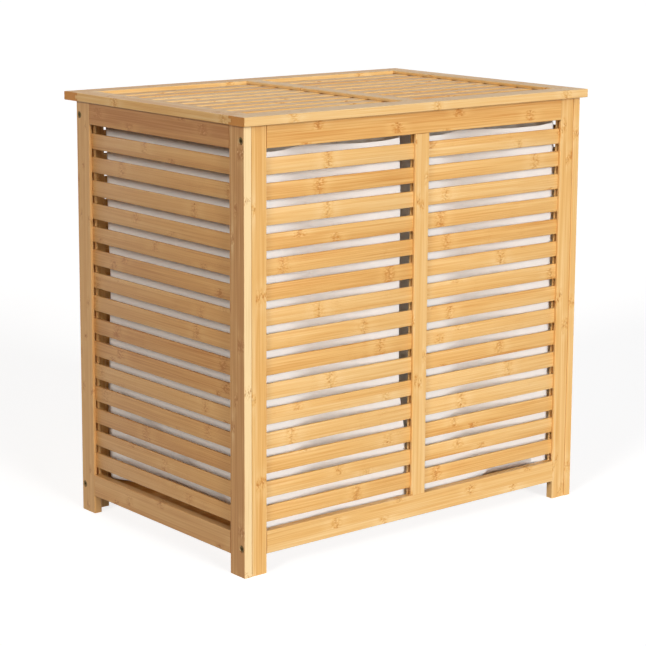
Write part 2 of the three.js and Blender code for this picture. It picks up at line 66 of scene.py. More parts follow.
def in_metres(shape):
    """Turns a shape that was made in millimetres to metres."""
    bmesh.ops.scale(shape, verts=shape.verts, vec=(MM,) * 3)
    return shape


def make_piece(name, shape, material, body, slot, *nodes):
    """Makes the shape an object that rides on a body, in place of the frame nodes named last."""
    mesh = bpy.data.meshes.new(name)
    shape.to_mesh(mesh)
    shape.free()
    mesh.shade_smooth()
    mesh.set_sharp_from_angle(angle=SMOOTH_ANGLE)
    mesh.materials.append(material)
    piece = bpy.data.objects.new(name, mesh)
    bpy.context.scene.collection.objects.link(piece)
    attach(piece, body)
    if nodes:
        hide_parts(*nodes)
    print("made", name, "with", len(mesh.polygons), "faces")


# %% [markdown]
# The camera stands where the photographer stood: well back, with a long lens, to the left and above
# the lid. Its lens is given by its focal length in pixels of a square picture, and is shifted down a
# little, which keeps the uprights of the hamper nearly parallel. The direction is built from an
# azimuth, a tilt and a slight roll, as three vectors that become the columns of a matrix.

# %% Camera
PICTURE_PIXELS = 646
FOCAL_PIXELS = 2028
SHIFT_PIXELS = 78
CAMERA_PLACE = Vector((-1.838, -2.241, 0.897))
CAMERA_AZIMUTH = math.radians(-39.21)
CAMERA_TILT = math.radians(10.03)
CAMERA_ROLL = math.radians(0.26)

forward = Vector((
    -math.sin(CAMERA_AZIMUTH) * math.cos(CAMERA_TILT),
    math.cos(CAMERA_AZIMUTH) * math.cos(CAMERA_TILT),
    -math.sin(CAMERA_TILT),
))
level_right = Vector((math.cos(CAMERA_AZIMUTH), math.sin(CAMERA_AZIMUTH), 0))
level_up = level_right.cross(forward)
right = level_right * math.cos(CAMERA_ROLL) + level_up * math.sin(CAMERA_ROLL)
up = right.cross(forward)

camera_data = bpy.data.cameras.new("camera")
camera_data.lens = camera_data.sensor_width * FOCAL_PIXELS / PICTURE_PIXELS
camera_data.shift_y = -SHIFT_PIXELS / PICTURE_PIXELS
camera = bpy.data.objects.new("camera", camera_data)
bpy.context.scene.collection.objects.link(camera)
turn = Matrix((right, up, -forward)).transposed()
camera.matrix_world = Matrix.Translation(CAMERA_PLACE) @ turn.to_4x4()
bpy.context.scene.camera = camera
print("lens", round(camera_data.lens, 1), "mm")

# %% [markdown]
# Shader nodes are added by one small function. It takes the kind of node, the node's own settings
# and its inputs, which may be numbers, colours or the outputs of other nodes. Colours are written
# as sRGB hex values, as one reads them from a picture, and turned to the linear values that the
# shaders work with.

# %% Add a shader node
WHITE = "#ffffff"
# Settings and inputs that many nodes share
PLUS = {"operation": "ADD"}
TIMES = {"operation": "MULTIPLY"}
TIMES_PLUS = {"operation": "MULTIPLY_ADD"}
DIVIDED_BY = {"operation": "DIVIDE"}
THERE_AND_BACK = {"operation": "PINGPONG"}
LARGER = {"operation": "MAXIMUM"}
COLOURS = {"data_type": "RGBA"}
SOFTLY = {"interpolation_type": "SMOOTHSTEP"}
FADING = {"To Min": 1.0, "To Max": 0.0}


def linear(hex_colour):
    """An sRGB hex colour such as "#c0ffee" as linear red, green, blue and alpha."""
    parts = [int(hex_colour[i:i + 2], 16) / 255 for i in (1, 3, 5)]
    return [c / 12.92 if c <= 0.04045 else ((c + 0.055) / 1.055) ** 2.4 for c in parts] + [1]


def add(tree, kind, settings=None, inputs=None, output=0):
    """Adds a node and returns one of its outputs, or the node itself if output is None."""
    node = tree.nodes.new("ShaderNode" + kind)
    for name, value in (settings or {}).items():
        setattr(node, name, value)
    for name, value in (inputs or {}).items():
        if isinstance(value, bpy.types.NodeSocket):
            tree.links.new(value, node.inputs[name])
        else:
            node.inputs[name].default_value = value
    return node if output is None else node.outputs[output]


def new_material(name):
    """An empty node material and its tree."""
    material = bpy.data.materials.new(name)
    material.use_nodes = True
    material.node_tree.nodes.clear()
    return material, material.node_tree


# %% [markdown]
# The light is plain and soft, as in a studio. A pale sky gives the light that comes from all round,
# a little more of it from behind, where a studio has its white backdrop. It could be a picture of a
# studio, but a dim sky and a few lamps are easier to match. To the camera and in reflections the
# whole sky is plain white: a Light Path node tells those rays from the ones that carry its light.

# %% Sky
SKY_IN_FRONT = 0.04
SKY_BEHIND = 0.10
SKY_TINT = "#fff7fc"

world = bpy.data.worlds.new("studio")
world.use_nodes = True
bpy.context.scene.world = world
sky = world.node_tree
sky.nodes.clear()


def seen_rays(tree):
    """1 on rays that show a backdrop: from the camera, in a reflection or through glass."""
    path = add(tree, "LightPath", output=None)
    shown = add(tree, "Math", LARGER,
                {0: path.outputs["Is Camera Ray"], 1: path.outputs["Is Glossy Ray"]})
    return add(tree, "Math", LARGER, {0: shown, 1: path.outputs["Is Transmission Ray"]})


direction = add(sky, "TexCoord", None, None, "Generated")
towards_back = add(sky, "SeparateXYZ", None, {0: direction}, "Y")
sky_light = add(sky, "MapRange", None, {"Value": towards_back, "From Min": -1.0, "From Max": 1.0,
                                        "To Min": SKY_IN_FRONT, "To Max": SKY_BEHIND})
seen_sky = seen_rays(sky)
sky_strength = add(sky, "MapRange", None, {"Value": seen_sky, "To Min": sky_light, "To Max": 1.0})
sky_colour = add(sky, "Mix", COLOURS, {0: seen_sky, 6: linear(SKY_TINT), 7: linear(WHITE)}, 2)
background = add(sky, "Background", None, {"Color": sky_colour, "Strength": sky_strength})
add(sky, "OutputWorld", None, {"Surface": background}, None)
print("sky:", len(sky.nodes), "nodes")

# %% [markdown]
# Three soft suns stand for three large lamps. The key lamp is nearly straight in front, and the
# weaker fill lamp stands at the left. Both shine in between the slats on the cloth, a little from
# above, so the top of each strip of cloth lies in soft shade. The back lamp is the weakest one, for
# whoever looks at the hamper from behind. Area lamps would do too, but the light of a sun is the
# same everywhere, so only its direction has to be found. At a strength of pi it lights a white
# sheet that faces it just to white, so the strengths are given as shares of that.

# %% Lamps
# For each lamp: its strength, then in degrees its direction from the front, its height and its
# softness, and its colour
LAMPS = {
    "key_lamp": (0.88, -1, 13.5, 26, WHITE),
    "fill_lamp": (0.5, -70, 21.5, 16, "#fffaf3"),
    "back_lamp": (0.28, 179, 6, 20, WHITE),
}

for name, (strength, from_front, height, softness, tint) in LAMPS.items():
    lamp_data = bpy.data.lights.new(name, "SUN")
    lamp_data.color = linear(tint)[:3]
    lamp_data.energy = strength * math.pi
    lamp_data.angle = math.radians(softness)
    around = math.radians(from_front)
    above = math.radians(height)
    lamp_from = Vector((math.sin(around) * math.cos(above), -math.cos(around) * math.cos(above),
                        math.sin(above)))
    lamp = bpy.data.objects.new(name, lamp_data)
    lamp.rotation_euler = lamp_from.to_track_quat("Z", "Y").to_euler()
    bpy.context.scene.collection.objects.link(lamp)
    print(name, "shines with", round(lamp_data.energy, 2))

# %% [markdown]
# The floor is a large pale sheet, and it takes the hamper's shadow. It throws some light back up on
# the boards, as a real one does, and looks greyer to that light than to the camera, because the
# boards would get too much of it. For the camera a glow is added too, which brings the open floor up
# to white while the shadow stays. The floor belongs to the stage and not to the hamper.

# %% Floor
FLOOR_HALF = 40
FLOOR_GREY = "#b8b8b8"
FLOOR_BOUNCE = "#707070"
FLOOR_GLOW = 0.80

floor_material, tree = new_material("white_floor")
thrown_back = add(tree, "BsdfDiffuse", None, {"Color": linear(FLOOR_BOUNCE)})
lit = add(tree, "BsdfDiffuse", None, {"Color": linear(FLOOR_GREY)})
glow = add(tree, "Emission", None, {"Color": linear(WHITE), "Strength": FLOOR_GLOW})
seen = add(tree, "AddShader", None, {0: lit, 1: glow})
surface = add(tree, "MixShader", None, {0: seen_rays(tree), 1: thrown_back, 2: seen})
add(tree, "OutputMaterial", None, {"Surface": surface}, None)

shape = bmesh.new()
bmesh.ops.create_grid(shape, x_segments=1, y_segments=1, size=FLOOR_HALF)
floor_mesh = bpy.data.meshes.new("floor")
shape.to_mesh(floor_mesh)
shape.free()
floor_mesh.materials.append(floor_material)
floor = bpy.data.objects.new("floor", floor_mesh)
bpy.context.scene.collection.objects.link(floor)
print("floor:", 2 * FLOOR_HALF, "m wide")

# %% [markdown]
# Bamboo boards are pressed from strips of split cane, glued side by side. Long fine fibres run
# along each strip, the strips differ in tone, a thin glue line parts them, and every strip has the
# marks of its cane's knuckles at its own places: a mottled patch with short darker flecks, and
# paler wood to both sides of it. A picture of bamboo would show the same marks on every board, so
# the pattern is worked out by nodes, in one group that all the boards share. The group reads a
# place in the board's own frame, in millimetres: along the fibres, across the strips and through
# the thickness. It gives back a shade, the dark marks and the glue lines.

# %% Start the bamboo pattern
PATTERN_INPUTS = {"Place": "Vector", "Board": "Float", "Strip Width": "Float",
                  "Strip Contrast": "Float"}
PATTERN_OUTPUTS = ("Shade", "Mark", "Glue")
# How far apart in the noise two boards lie, so that no two look alike
BOARDS_APART = 97.0

pattern = bpy.data.node_groups.new("bamboo_pattern", "ShaderNodeTree")
for socket_name, kind in PATTERN_INPUTS.items():
    pattern.interface.new_socket(socket_name, in_out="INPUT", socket_type="NodeSocket" + kind)
for socket_name in PATTERN_OUTPUTS:
    pattern.interface.new_socket(socket_name, in_out="OUTPUT", socket_type="NodeSocketFloat")


def streaks(place, size, detail=2.0):
    """Noise in which one feature has about that size in millimetres, centred on zero."""
    small = add(pattern, "VectorMath", DIVIDED_BY, {0: place, 1: size})
    field = add(pattern, "TexNoise", None, {"Vector": small, "Scale": 1.0, "Detail": detail})
    return add(pattern, "Math", PLUS, {0: field, 1: -0.5})


given = pattern.nodes.new("NodeGroupInput")
board = given.outputs["Board"]
strip_width = given.outputs["Strip Width"]
part = add(pattern, "SeparateXYZ", None, {0: given.outputs["Place"]}, None)
apart = add(pattern, "Math", TIMES, {0: board, 1: BOARDS_APART})
apart = add(pattern, "CombineXYZ", None, {"Z": apart})
place = add(pattern, "VectorMath", PLUS, {0: given.outputs["Place"], 1: apart})

# %% [markdown]
# The place across the board, counted in strips, tells which strip a place is in. Each board starts
# at another share of a strip, as it would when it is sawn from a wide sheet. White noise turns the
# numbers of the board and the strip into random numbers that the whole strip shares.

# %% Strips and glue lines
# By what share of a strip one board starts later than the one before it
STRIP_START = 0.377
GLUE_LINE = 0.5

across = add(pattern, "Math", DIVIDED_BY, {0: part.outputs["Y"], 1: strip_width})
across = add(pattern, "Math", TIMES_PLUS, {0: board, 1: STRIP_START, 2: across})
strip = add(pattern, "Math", {"operation": "FLOOR"}, {0: across})
strip_key = add(pattern, "CombineXYZ", None, {"X": strip, "Y": board})
own = add(pattern, "TexWhiteNoise", {"noise_dimensions": "2D"}, {"Vector": strip_key}, "Color")
own = add(pattern, "SeparateColor", None, {"Color": own}, None)
to_glue = add(pattern, "Math", THERE_AND_BACK, {0: across, 1: 0.5})
to_glue = add(pattern, "Math", TIMES, {0: to_glue, 1: strip_width})
glue = add(pattern, "MapRange", SOFTLY, {**FADING, "Value": to_glue, "From Max": GLUE_LINE})

# %% [markdown]
# A cane has a knuckle every 250 mm or so. How far the nearest one is comes from the place along the
# strip, with a start of the strip's own and a slow bend, so that no knuckle is a straight line. A
# patch and a wider halo lie round it. In the patch the place is shifted sideways by another noise,
# so the fibres swirl there.

# %% Knuckles
KNUCKLE_SPACING = 250
KNUCKLE_PATCH = 15
KNUCKLE_HALO = 32
KNUCKLE_BOW = 12
# By how many spacings a strip is shifted at most
RANDOM_TURNS = 9
# The sizes of the bends and the swirls, and how far a swirl shifts the fibres
BEND = (28, 7, 7)
SWIRL = (6, 4, 4)
SWIRL_SHIFT = 6.0

bend = streaks(place, BEND, 1.0)
turns = add(pattern, "Math", TIMES, {0: own.outputs["Red"], 1: RANDOM_TURNS})
turns = add(pattern, "Math", TIMES_PLUS, {0: bend, 1: KNUCKLE_BOW / KNUCKLE_SPACING, 2: turns})
turns = add(pattern, "Math", TIMES_PLUS, {0: part.outputs["X"], 1: 1 / KNUCKLE_SPACING, 2: turns})
to_knuckle = add(pattern, "Math", THERE_AND_BACK, {0: turns, 1: 0.5})
to_knuckle = add(pattern, "Math", TIMES, {0: to_knuckle, 1: KNUCKLE_SPACING})
patch = add(pattern, "MapRange", SOFTLY,
            {**FADING, "Value": to_knuckle, "From Max": KNUCKLE_PATCH})
halo = add(pattern, "MapRange", SOFTLY,
           {**FADING, "Value": to_knuckle, "From Min": KNUCKLE_PATCH / 2, "From Max": KNUCKLE_HALO})

swirl = add(pattern, "Math", TIMES, {0: streaks(place, SWIRL, 1.0), 1: SWIRL_SHIFT})
swirl = add(pattern, "Math", TIMES, {0: swirl, 1: patch})
sideways = add(pattern, "CombineXYZ", None, {"Y": swirl})
grown = add(pattern, "VectorMath", PLUS, {0: place, 1: sideways})

# %% [markdown]
# The shade is about 0.5 on average, lower where the wood is paler and higher where it is darker. It
# starts from the tone of the strip. A noise that is stretched along the board turns to streaks, and
# three of them, from broad to fine, make the fibres. Real fibres are finer than the finest one
# here, which is drawn as coarse as it has to be to show. Then come the pale halo and the mottled
# patch of a knuckle. The dark marks are the flecks of the patch and a broken line across it.

# %% Fibres, shade and marks
# The size of a feature in millimetres, and its share in the shade
FIBRE_LAYERS = (((150, 15, 15), 0.3), ((200, 3.4, 3.4), 0.5), ((130, 1.3, 1.3), 0.9))
FLECK = (5, 1.9, 1.9)
HALO_SHADE = -0.14
MOTTLE_SHADE = 2.2
PATCH_SHADE = 0.26
KNUCKLE_LINE = 1.6
LINE_BREAKS = 0.2
FLECK_START = 0.1
FLECK_FULL = 0.25

shade = add(pattern, "Math", PLUS, {0: own.outputs["Green"], 1: -0.5})
shade = add(pattern, "Math", TIMES_PLUS, {0: shade, 1: given.outputs["Strip Contrast"], 2: 0.5})
mottle = add(pattern, "Math", TIMES, {0: streaks(grown, FLECK), 1: patch})
layers = [(streaks(grown, size), share) for size, share in FIBRE_LAYERS]
layers += [(halo, HALO_SHADE), (mottle, MOTTLE_SHADE), (patch, PATCH_SHADE)]
for layer, share in layers:
    shade = add(pattern, "Math", TIMES_PLUS, {0: layer, 1: share, 2: shade})

broken = add(pattern, "MapRange", None, {"Value": streaks(place, FLECK),
                                         "From Min": -LINE_BREAKS, "From Max": LINE_BREAKS})
line = add(pattern, "MapRange", SOFTLY, {**FADING, "Value": to_knuckle, "From Max": KNUCKLE_LINE})
line = add(pattern, "Math", TIMES, {0: line, 1: broken})
flecks = add(pattern, "MapRange", SOFTLY,
             {"Value": mottle, "From Min": FLECK_START, "From Max": FLECK_FULL})
mark = add(pattern, "Math", LARGER, {0: flecks, 1: line})

made = pattern.nodes.new("NodeGroupOutput")
for socket_name, value in zip(PATTERN_OUTPUTS, (shade, mark, glue)):
    pattern.links.new(value, made.inputs[socket_name])
print("bamboo pattern:", len(pattern.nodes), "nodes")

# %% [markdown]
# The finish is the same for boards and slats: pale straw to honey and amber, warm brown at the
# knuckles, under a thin satin lacquer. Base colour, roughness and a shallow bump follow the
# pattern. A lacquer on wood has an IOR of about 1.5 and a roughness near 0.4. End grain shows the
# cut ends of the fibres, which drink more lacquer and are darker.
#
# The hamper's left side lies out of the key light, and its boards get browner shades than the rest,
# as painted shade. Its front stile is painted paler on its narrow sides, a painted highlight where
# the front one faces the lamps. So a finish may have shades of its own, from the palest to the
# deepest.

# %% The finish of lacquered bamboo
# From the palest to the deepest
PALE_BAMBOO = ("#eec98e", "#e2b067", "#ca8533")
# Browner shades for the left side and for the slats of both sides: painted shade
PAINTED_SHADE_BAMBOO = ("#dcae70", "#cf9a5b", "#b2763c")
# For the left side's front stile: browner shades as painted shade, and a paler palest for a painted
# highlight
PAINTED_SHADE_AND_HIGHLIGHT_BAMBOO = ("#f3d5a0", "#cf9a5b", "#b2763c")
KNUCKLE_BROWN = "#a05c24"
# The shades of the pattern at which these colours are reached
PALEST_SHADE = 0.1
MIDDLE_SHADE = 0.5
DEEPEST_SHADE = 0.95
MARK_STRENGTH = 0.45
GLUE_STRENGTH = 0.3
BUMP_HEIGHT = 0.1 * MM
BUMP_STRENGTH = 0.5
SMOOTHEST = 0.38
ROUGHEST = 0.5
LACQUER_IOR = 1.5


def lacquered_bamboo(name, strip, tone, shades, read_board):
    """A bamboo material. read_board(tree) makes what the pattern reads, which are the place and the
    number of the board, and a change of tone for the ends or the sides of it."""
    material, tree = new_material(name)
    strip_width, strip_contrast = strip
    palest, middle, deepest = shades
    place, board, tone_there = read_board(tree)
    drawn = add(tree, "Group", {"node_tree": pattern},
                {"Place": place, "Board": board, "Strip Width": strip_width,
                 "Strip Contrast": strip_contrast}, None)
    shade = add(tree, "Math", PLUS, {0: drawn.outputs["Shade"], 1: tone})
    shade = add(tree, "Math", PLUS, {0: tone_there, 1: shade})
    low = add(tree, "MapRange", None,
              {"Value": shade, "From Min": PALEST_SHADE, "From Max": MIDDLE_SHADE})
    high = add(tree, "MapRange", None,
               {"Value": shade, "From Min": MIDDLE_SHADE, "From Max": DEEPEST_SHADE})
    colour = linear(palest)
    for share, strength, hex_colour in ((low, 1.0, middle), (high, 1.0, deepest),
                                        (drawn.outputs["Mark"], MARK_STRENGTH, KNUCKLE_BROWN),
                                        (drawn.outputs["Glue"], GLUE_STRENGTH, deepest)):
        share = add(tree, "Math", TIMES, {0: share, 1: strength})
        colour = add(tree, "Mix", COLOURS, {0: share, 6: colour, 7: linear(hex_colour)}, 2)
    height = add(tree, "Math", {"operation": "SUBTRACT"}, {0: 1.0, 1: shade})
    bump = add(tree, "Bump", None,
               {"Height": height, "Distance": BUMP_HEIGHT, "Strength": BUMP_STRENGTH})
    rough = add(tree, "MapRange", None, {"Value": shade, "To Min": SMOOTHEST, "To Max": ROUGHEST})
    shader = add(tree, "BsdfPrincipled", None,
                 {"Base Color": colour, "Roughness": rough, "Normal": bump, "IOR": LACQUER_IOR})
    add(tree, "OutputMaterial", None, {"Surface": shader}, None)
    return material


# %% [markdown]
# The boards of the frame have the right shape already, with their edges eased, so they only get the
# finish. Each gets a material of its own, because each was cut from another blank. The fibres run
# along a board's longest side and its strips lie across the next one, so the three axes are sorted
# by the board's own size. Then the place in the board is its Object coordinates, counted from its
# corner in millimetres.

# %% Read a place in a board
END_GRAIN = 0.75
# How straight a face has to look along an axis to be an end or a side
FACING = 0.7


def finish(node, material):
    """Gives a frame node that material."""
    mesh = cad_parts[node].data
    mesh.materials.clear()
    mesh.materials.append(material)


def board_axes(low, high):
    """The axes of a board as numbers: along its length, across its width, through its thickness."""
    return sorted(range(3), key=lambda axis: low[axis] - high[axis])


def finish_board(node, number, strip, tone, shades=PALE_BAMBOO, edge_tone=0.0):
    """Gives a frame node its own bamboo material."""
    low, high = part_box(node)
    axes = board_axes(low, high)

    def read_board(tree):
        spot = add(tree, "TexCoord", None, None, "Object")
        part = add(tree, "SeparateXYZ", None, {0: spot}, None)
        turned = add(tree, "CombineXYZ", None,
                     {i: part.outputs[axis] for i, axis in enumerate(axes)})
        corner = [-low[axis] / MM for axis in axes]
        place = add(tree, "Mapping", None,
                    {"Vector": turned, "Scale": (1 / MM,) * 3, "Location": corner})
        faces = add(tree, "TexCoord", None, None, "Normal")
        faces = add(tree, "SeparateXYZ", None, {0: faces}, None)
        change = 0.0
        for axis, tone_there in ((axes[0], END_GRAIN), (axes[1], edge_tone)):
            facing = add(tree, "Math", {"operation": "ABSOLUTE"}, {0: faces.outputs[axis]})
            facing = add(tree, "Math", {"operation": "GREATER_THAN"}, {0: facing, 1: FACING})
            change = add(tree, "Math", TIMES_PLUS, {0: facing, 1: tone_there, 2: change})
        return place, float(number), change

    finish(node, lacquered_bamboo("lacquered_bamboo_" + node, strip, tone, shades, read_board))


# %% [markdown]
# The boards could all have one tone, but a real hamper shows a mix, and a few boards are clearly
# lighter or darker than the rest. The tones of those that one looks at most are listed, and chance
# gives the others. The strips are 15 mm wide in the rails and narrower in the stiles.

# %% Finish the boards
# The width of the strips in millimetres, and how much they differ in shade
RAIL_STRIP = (15, 0.18)
STILE_STRIP = (7, 0.16)
TONES = {
    "front_top_rail": 0.12,
    "front_bottom_rail": -0.1,
    "front_centre_stile": -0.12,
    "lid_front_rail": -0.22,
    "left_side_top_rail": 0.25,
    "left_side_bottom_rail": 0.0,
    "left_side_back_stile": -0.15,
    "left_side_front_stile": 0.1,
}
CHANCE_TONES = (-0.1, 0.04)
# How much paler the narrow sides of that stile are: a painted highlight, which also lifts the
# painted shade
PAINTED_HIGHLIGHT_EDGE = -0.5
draw = random.Random(11)

board_nodes = sorted(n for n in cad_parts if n.endswith(("_stile", "_rail")))
for number, node in enumerate(board_nodes, start=1):
    tone = TONES.get(node, draw.uniform(*CHANCE_TONES))
    strip = RAIL_STRIP if node.endswith("_rail") else STILE_STRIP
    # The left side gets painted shade, and its front stile a painted highlight on its narrow sides
    if node == "left_side_front_stile":
        finish_board(node, number, strip, tone, PAINTED_SHADE_AND_HIGHLIGHT_BAMBOO, PAINTED_HIGHLIGHT_EDGE)
    elif node.startswith("left_side"):
        finish_board(node, number, strip, tone, PAINTED_SHADE_BAMBOO)
    else:
        finish_board(node, number, strip, tone)
print("finished", len(board_nodes), "boards")

# %% [markdown]
# The bottom board lies in the grooves of the lower rails. It's a thin pressed bamboo sheet, and
# only its edge and a strip of its top can be seen under the bags. Its shape is right in the frame,
# so it takes the same finish, in a deeper tone that is painted shade for its place under the bags.

# %% Bottom board
BOTTOM_NUMBER = 77
# A deeper tone: painted shade under the bags
BOTTOM_PAINTED_SHADE = 0.3

finish_board("bottom_panel", BOTTOM_NUMBER, RAIL_STRIP, BOTTOM_PAINTED_SHADE)
print("finished the bottom board")

# %% [markdown]
# In the frame each bay's slats are one solid, tied together inside the grooves. Here they are
# single slats again, with softly rounded edges. A cube is scaled to one slat and bevelled, which
# gives the rounding with few faces.

# %% One slat
SLAT_WIDTH = 22 * MM
SLAT_EDGE = 0.9 * MM


def one_slat(length, thickness):
    """The mesh of a slat along x, with its width along y, centred on the origin."""
    slat = bmesh.new()
    bmesh.ops.create_cube(slat, size=1)
    bmesh.ops.scale(slat, verts=slat.verts, vec=(length, SLAT_WIDTH, thickness))
    bmesh.ops.bevel(slat, geom=slat.edges[:], offset=SLAT_EDGE, segments=3, profile=0.5,
                    affect="EDGES", material=-1)
    mesh = bpy.data.meshes.new("slat")
    slat.to_mesh(mesh)
    slat.free()
    return mesh


# %% [markdown]
# All the slats of a bay are one piece, so they can't have a material each. Every point of a slat
# carries two attributes for the finish instead: its place in its own slat, shifted along the cane
# at random, and the number of the board that the slat stands for. The strips are wider than a
# slat, so a slat shows one or two of them.

# %% The finish of the slats
SLAT_STRIP = (30, 0.3)
SIDE_SLAT_STRIP = (30, 0.42)


def read_slat(tree):
    """What the two attributes of a slat hold."""
    place = add(tree, "Attribute", {"attribute_name": "place_in_slat"}, None, "Vector")
    number = add(tree, "Attribute", {"attribute_name": "board"}, None, "Fac")
    return place, number, 0.0


pale_slats = lacquered_bamboo("lacquered_bamboo_slats", SLAT_STRIP, 0.0, PALE_BAMBOO, read_slat)
# The side panels' slats get browner shades: painted shade
side_slats = lacquered_bamboo("lacquered_bamboo_side_slats", SIDE_SLAT_STRIP, 0.0, PAINTED_SHADE_BAMBOO,
                              read_slat)
print("finishes:", pale_slats.name, "and", side_slats.name)

# %% [markdown]
# Copies of the slat are set one pitch apart, from one end of the bay to the other. The bay's own
# box in the frame gives the length, the thickness and the pitch. The slats of the two side panels
# get the browner finish, which is painted shade for the sides.

# %% Rows of slats
BODY_SLATS = 15
LID_SLATS = 10
CANE_LENGTH = 4000
SLAT_NUMBERS = 500


def slat_row(node, count, body):
    """Replaces a node's ladder by single slats."""
    low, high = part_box(node)
    stack, along, through = board_axes(low, high)
    middle = (low + high) / 2
    pitch = (high[stack] - low[stack] - SLAT_WIDTH) / (count - 1)
    slat = one_slat(high[along] - low[along], high[through] - low[through])
    row = bmesh.new()
    place = row.verts.layers.float_vector.new("place_in_slat")
    number = row.verts.layers.float.new("board")
    for i in range(count):
        before = len(row.verts)
        row.from_mesh(slat)
        row.verts.ensure_lookup_table()
        shift = draw.uniform(0, CANE_LENGTH)
        own_number = draw.randrange(1, SLAT_NUMBERS)
        for vert in row.verts[before:]:
            x, y, z = vert.co
            vert[place] = Vector((x, y + SLAT_WIDTH / 2, z)) / MM + Vector((shift, 0, 0))
            vert[number] = own_number
            spot = [0, 0, 0]
            spot[along] = middle[along] + x
            spot[stack] = low[stack] + SLAT_WIDTH / 2 + i * pitch + y
            spot[through] = middle[through] + z
            vert.co = spot
    bmesh.ops.recalc_face_normals(row, faces=row.faces)
    bpy.data.meshes.remove(slat)
    # The slats of the side panels carry painted shade
    bamboo = side_slats if "_side_" in node else pale_slats
    make_piece(node + "_row", row, bamboo, body, "bamboo_slats", node)


for node in sorted(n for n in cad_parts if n.endswith("_slats")):
    if node.startswith("lid_"):
        slat_row(node, LID_SLATS, "lid")
    else:
        slat_row(node, BODY_SLATS, "frame")

# %% [markdown]
# The bags are plain woven cotton, white and without any shine. The cloth is thin, so some of the
# light goes through it, a little warmer than it came. The weave is fine, with threads of about half
# a millimetre, some thicker than others. Two streaked noises stand for it, one that runs up the
# cloth and one that runs round it, and they raise a bump of a tenth of a millimetre.

# %% Cotton cloth
THREAD = 0.5
SLUB = 16
WEAVE_HEIGHT = 0.1 * MM
WEAVE_STRENGTH = 0.6
COTTON = "#fffefd"
COTTON_SHADED = "#f9f8f6"
COTTON_FROM_BEHIND = "#fbeedd"
COTTON_ROUGHNESS = 0.95
COTTON_SHINE = 0.2
LIGHT_THROUGH = 0.15

cotton, tree = new_material("woven_cotton")
spot = add(tree, "TexCoord", None, None, "Object")
spot = add(tree, "VectorMath", {"operation": "SCALE"}, {0: spot, "Scale": 1 / MM})
threads = []
for size in ((THREAD, THREAD, SLUB), (SLUB, SLUB, THREAD)):
    small = add(tree, "VectorMath", DIVIDED_BY, {0: spot, 1: size})
    threads.append(add(tree, "TexNoise", None, {"Vector": small, "Scale": 1.0, "Detail": 1.0}))
weave = add(tree, "Math", TIMES, {0: threads[0], 1: threads[1]})
colour = add(tree, "Mix", COLOURS, {0: weave, 6: linear(COTTON_SHADED), 7: linear(COTTON)}, 2)
bump = add(tree, "Bump", None,
           {"Height": weave, "Distance": WEAVE_HEIGHT, "Strength": WEAVE_STRENGTH})
front_light = add(tree, "BsdfPrincipled", None,
                  {"Base Color": colour, "Roughness": COTTON_ROUGHNESS, "Normal": bump,
                   "Specular IOR Level": COTTON_SHINE})
through_light = add(tree, "BsdfTranslucent", None,
                    {"Color": linear(COTTON_FROM_BEHIND), "Normal": bump})
surface = add(tree, "MixShader", None, {0: LIGHT_THROUGH, 1: front_light, 2: through_light})
add(tree, "OutputMaterial", None, {"Surface": surface}, None)
print("cotton:", len(tree.nodes), "nodes")

# %% [markdown]
# A bag is a box of cloth that hangs empty, so it keeps the folds of its packing. A cloth simulation
# would give it folds, but not these at these places, so instead every point of a plain box is
# shifted, by an amount that depends on its place. The amounts are built from a few soft steps, and
# from noise, which gives the small unevenness that all slack cloth has.

# %% Soft steps and ripples
# The size of a feature along x, y and z in millimetres
BROAD_HOLLOWS = (95, 95, 140)
SMALL_CREASES = (26, 26, 90)
BROAD_DEPTH = 2.0
SMALL_DEPTH = 0.9
CREASE_SHARPNESS = 3
WALL_REACH = 80


def rising(value, start, end):
    """0 up to start, 1 from end on, and a soft rise between them."""
    share = min(max((value - start) / (end - start), 0), 1)
    return share * share * (3 - 2 * share)


def falling(value, start, end):
    """1 up to start, 0 from end on, and a soft fall between them."""
    return 1 - rising(value, start, end)


def between(value, start, full, fade, end):
    """1 between full and fade, and 0 before start and after end."""
    return rising(value, start, full) * falling(value, fade, end)


def hump(value, middle, width):
    """1 in the middle, and 0 from that width away on."""
    return falling(abs(value - middle), 0, width)


def near(distance, reach=WALL_REACH):
    """1 on a wall of the box, and 0 from that distance inside on."""
    return falling(distance, 0, reach)


def noise_at(point, size):
    """Noise from -1 to 1 in which one feature has about that size."""
    return noise.noise(Vector([value / length for value, length in zip(point, size)]))


def ripple(*point):
    """Soft hollows of a few millimetres and small upright creases."""
    crease = max(1 - 2 * abs(noise_at(point, SMALL_CREASES)), 0) ** CREASE_SHARPNESS
    return BROAD_DEPTH * noise_at(point, BROAD_HOLLOWS) + SMALL_DEPTH * crease


# %% [markdown]
# The two bags fold alike but not by the same amounts, so what differs between them is kept in one
# record for each bag. Another record tells where a point lies on its bag. The corners of a bag are
# stiffer than its walls, so the slack fades towards them, and the rods hold the side walls flat at
# their upper ends.

# %% What the folds depend on
# The distances from a corner between which the slack comes in
CORNER = (4, 42)
# How far below the edge of the hem the rods start to hold the side walls, and hold them all
HELD_BELOW = (45, 5)


@dataclass
class BagFolds:
    """The folds of one bag. All lengths are in millimetres, in the hamper's frame."""
    low: Vector
    high: Vector
    # Where the front's crease starts at the top, and how far it leans to the right
    crease_top: float
    crease_lean: float
    # How far the left wall is drawn in at the bottom
    left_drawn_in: float
    # How far the right wall bulges at the bottom, and how far it stands out below its hem
    right_bulge: float
    right_out: float
    # How high the front is folded in, and between which x it starts, is full, fades and ends
    tuck: float
    tucked: tuple
    # What sets the ripples of this bag apart
    seed: float


